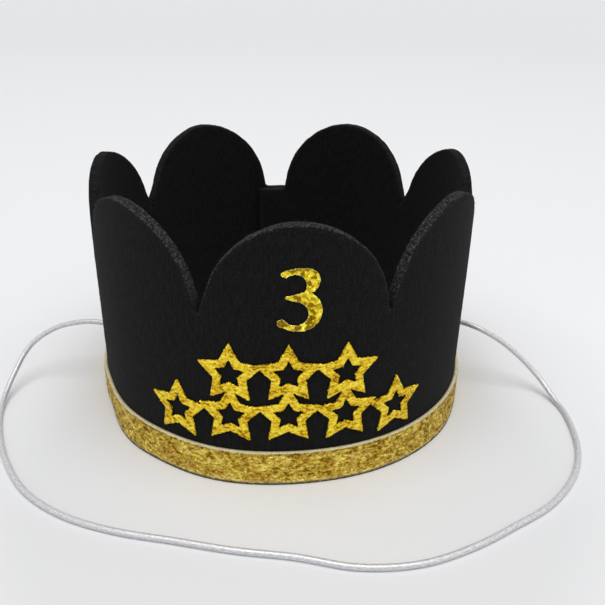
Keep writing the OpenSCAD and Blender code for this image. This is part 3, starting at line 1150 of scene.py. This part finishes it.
def make_floor():
    sh = Shader("pale_floor")
    away = sh.vector("SUBTRACT", a=sh.object_place(), b=FLOOR_CENTRE)
    far = sh.add("ShaderNodeVectorMath", {0: away}, operation="LENGTH").outputs["Value"]
    # Painted light and shade on the floor, by distance from its centre
    colour = sh.ramp(sh.maths("POWER", far, 0.5), FLOOR_PAINTED_LIGHT)
    sh.principled({"Base Color": colour, "Roughness": 0.8, "Specular IOR Level": 0.1})
    corners = [(x * FLOOR_HALF, y * FLOOR_HALF, 0) for x, y in ((-1, -1), (1, -1), (1, 1), (-1, 1))]
    floor = mesh_object("floor", corners, [(0, 1, 2, 3)], sh.material)


def make_world(strength):
    """Even light all round, and a pale wall where it is seen or mirrored."""
    world = scene.world or bpy.data.worlds.new("studio")
    scene.world = world
    world.use_nodes = True
    tree = world.node_tree
    tree.nodes.clear()
    path = tree.nodes.new("ShaderNodeLightPath")
    seen = path.outputs["Is Camera Ray"]
    for name in ("Is Glossy Ray", "Is Transmission Ray"):
        either = tree.nodes.new("ShaderNodeMath")
        either.operation = "MAXIMUM"
        tree.links.new(seen, either.inputs[0])
        tree.links.new(path.outputs[name], either.inputs[1])
        seen = either.outputs[0]
    light, shown = (tree.nodes.new("ShaderNodeBackground") for _ in range(2))
    light.inputs["Color"].default_value = (*WORLD_TINT, 1)
    light.inputs["Strength"].default_value = strength
    shown.inputs["Color"].default_value = (*WALL_COLOUR, 1)
    mixed = tree.nodes.new("ShaderNodeMixShader")
    output = tree.nodes.new("ShaderNodeOutputWorld")
    tree.links.new(seen, mixed.inputs[0])
    tree.links.new(light.outputs[0], mixed.inputs[1])
    tree.links.new(shown.outputs[0], mixed.inputs[2])
    tree.links.new(mixed.outputs[0], output.inputs[0])


def soft_light(name, azimuth, elevation, width, level):
    """Distant light, its width in degrees. level is what it adds to the floor's brightness."""
    data = bpy.data.lights.new(name, "SUN")
    data.angle = math.radians(width)
    data.energy = level * math.pi / math.sin(math.radians(elevation))
    lamp = link(bpy.data.objects.new(name, data))
    a, e = math.radians(azimuth), math.radians(elevation)
    source = Vector((math.sin(a) * math.cos(e), -math.cos(a) * math.cos(e), math.sin(e)))
    lamp.matrix_world = (-source).to_track_quat("-Z", "Y").to_matrix().to_4x4()


def make_lights():
    make_world(WORLD_LIGHT)
    for lamp in LAMPS:
        soft_light(*lamp)


make_camera()
elastic = elastic_material()
cord, cord_line, cord_length = make_cord(elastic)
knots = [make_knot("knot_left", "left_knot", HOLE_TURNS[0], elastic),
         make_knot("knot_right", "right_knot", HOLE_TURNS[1], elastic)]

glitter, tilt = glitter_effect(), tilt_effect()
felt = make_felt(felt_material())
grown("felt_fuzz", felt, fuzz_tree(fibre_material()), "felt",
      Density=5.0 / MM ** 2, Length=0.45 * MM, Width=0.05 * MM, Bend=0.5, Seed=4)
ribbon = make_ribbon(ribbon_material(glitter, tilt), backing_material())
grown("glitter_ribbon_flakes", ribbon,
      flake_tree(flake_material("ribbon_flake", RIBBON_GOLD, glitter, RIBBON_GRAIN, 0.42)),
      "glitter_ribbon", Density=7.0 / MM ** 2, Size=0.42 * MM, Tilt=0.45, Seed=2)
garland = cut_sheet("star_garland_card", "star_garland", card_material(glitter, tilt),
                    torn_grain)
grown("star_garland_flakes", garland,
      flake_tree(flake_material("card_flake", CARD_GOLD, glitter, CARD_GRAIN, 0.34)), "glitter_card",
      Density=5.0 / MM ** 2, Size=0.36 * MM, Tilt=0.4, Seed=6)
numeral = cut_sheet("numeral_foil", "numeral_three", foil_material(glitter, tilt), crinkle)
tone_facets(numeral)

make_floor()
make_lights()
scene.view_settings.view_transform = "Standard"
